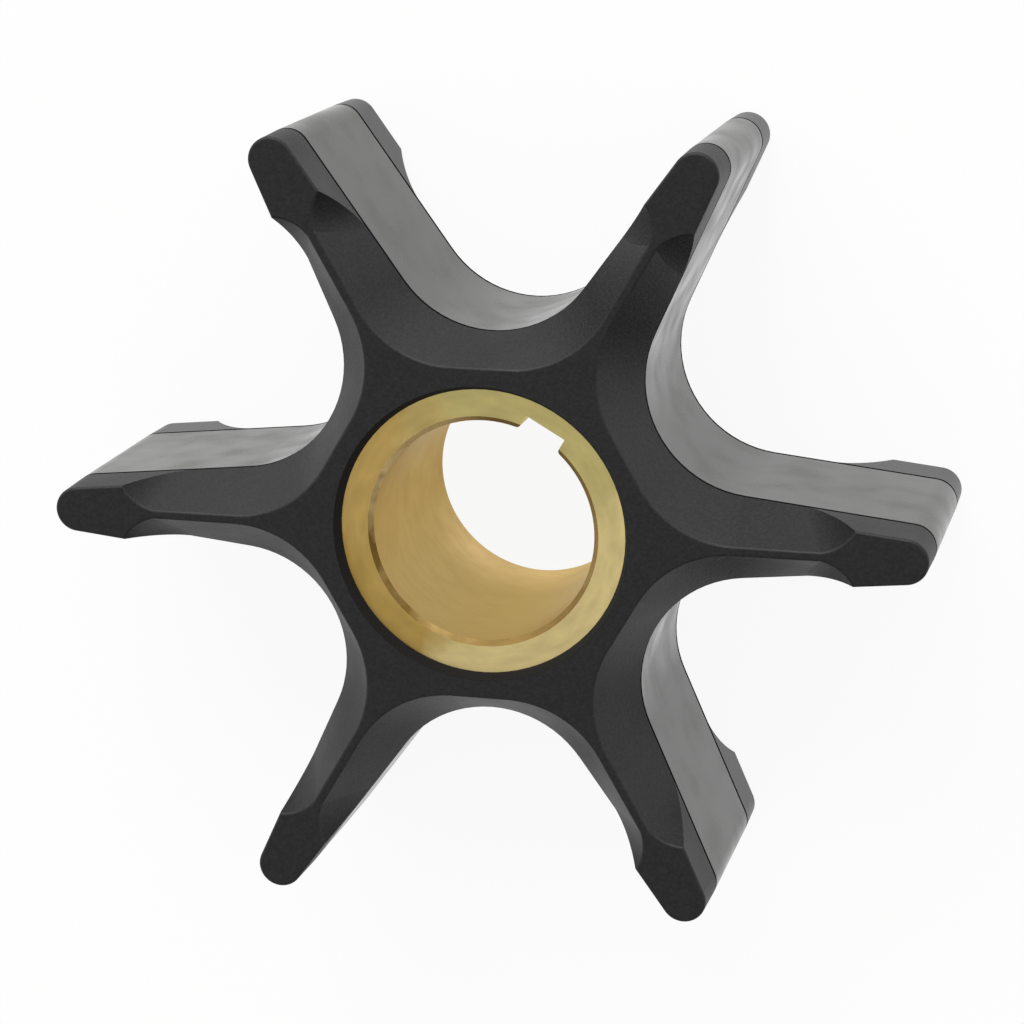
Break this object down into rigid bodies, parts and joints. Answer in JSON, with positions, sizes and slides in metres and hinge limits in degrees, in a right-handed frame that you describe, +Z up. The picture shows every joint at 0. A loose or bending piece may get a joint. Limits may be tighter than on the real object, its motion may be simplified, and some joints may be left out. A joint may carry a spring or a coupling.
{
  "type": "pump impeller",
  "caption": "Black moulded rubber pump impeller with straight round-tipped vanes relieved on both faces, bonded round a turned brass bush with a keyway",
  "frame": {"origin": "on the axis of the bore, in the plane of the lower face the part rests on", "axes": "+Z runs up along the bore axis; +X runs through the middle of one vane; the keyway lies 60 degrees from +X towards +Y"},
  "size_m": [0.079, 0.069, 0.0273],
  "materials": {
    "rubber": "fine matte moulded skin",
    "brass": "fine turned"
  },
  "bodies": {
    "root": {"rubber_vane_wheel": "rubber", "brass_insert": "brass"}
  },
  "joints": []
}
